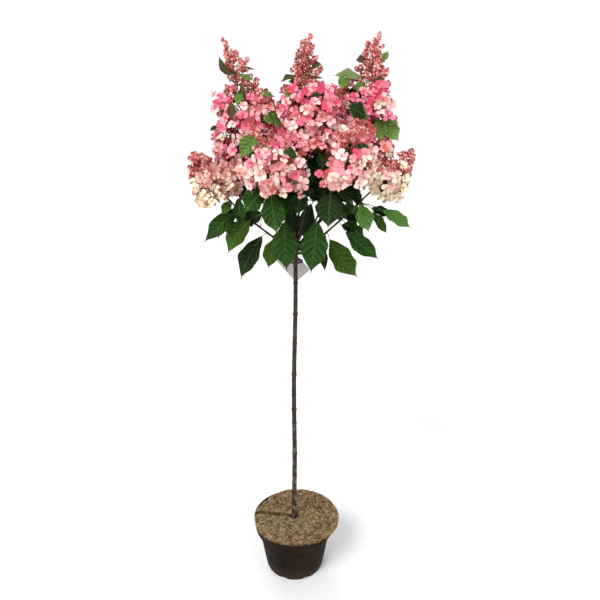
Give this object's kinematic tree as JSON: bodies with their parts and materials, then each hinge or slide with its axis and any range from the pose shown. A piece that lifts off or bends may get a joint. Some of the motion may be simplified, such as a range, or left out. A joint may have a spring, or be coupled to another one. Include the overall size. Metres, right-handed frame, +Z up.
{
  "type": "potted panicle hydrangea standard",
  "caption": "Flowering shrub grown as a standard: one slender bare stem from a round nursery pot to a crown of drooping leaves and cone-shaped pink flower heads.",
  "frame": {"origin": "centre of the pot's flat underside, on the ground", "axes": "+Z up along the pot's axis, -Y towards the plant's front, +X to the right seen from the front"},
  "size_m": [0.6065, 0.4956, 1.633],
  "materials": {
    "pot_plastic": "matte brown-black moulded plastic",
    "compost": "dark moist bark compost",
    "coir": "matted brown coconut fibre",
    "bark": "grey-brown bark, rough",
    "leaf": "semi-matte green leaves",
    "bloom": "soft pink petals",
    "card": "blank pale grey card"
  },
  "bodies": {
    "root": {"pot": "pot_plastic", "compost": "compost", "mulch_disc": "coir", "stem": "bark", "label": "card", "bough_upper_left": "bark", "bough_upper_front": "bark", "bough_upper_right": "bark", "bough_upper_back": "bark", "bough_lower_left": "bark", "bough_lower_front_left": "bark", "bough_lower_front_right": "bark", "bough_lower_right": "bark", "bough_lower_back_right": "bark", "bough_lower_back_left": "bark", "leaves_upper_left": "leaf", "leaves_upper_front": "leaf", "leaves_upper_right": "leaf", "leaves_upper_back": "leaf", "leaves_lower_left": "leaf", "leaves_lower_front_left": "leaf", "leaves_lower_front_right": "leaf", "leaves_lower_right": "leaf", "leaves_lower_back_right": "leaf", "leaves_lower_back_left": "leaf", "panicle_upper_left": "bloom", "panicle_upper_front": "bloom", "panicle_upper_right": "bloom", "panicle_upper_back": "bloom", "panicle_lower_left": "bloom", "panicle_lower_front_left": "bloom", "panicle_lower_front_right": "bloom", "panicle_lower_right": "bloom", "panicle_lower_back_right": "bloom", "panicle_lower_back_left": "bloom"}
  },
  "joints": []
}
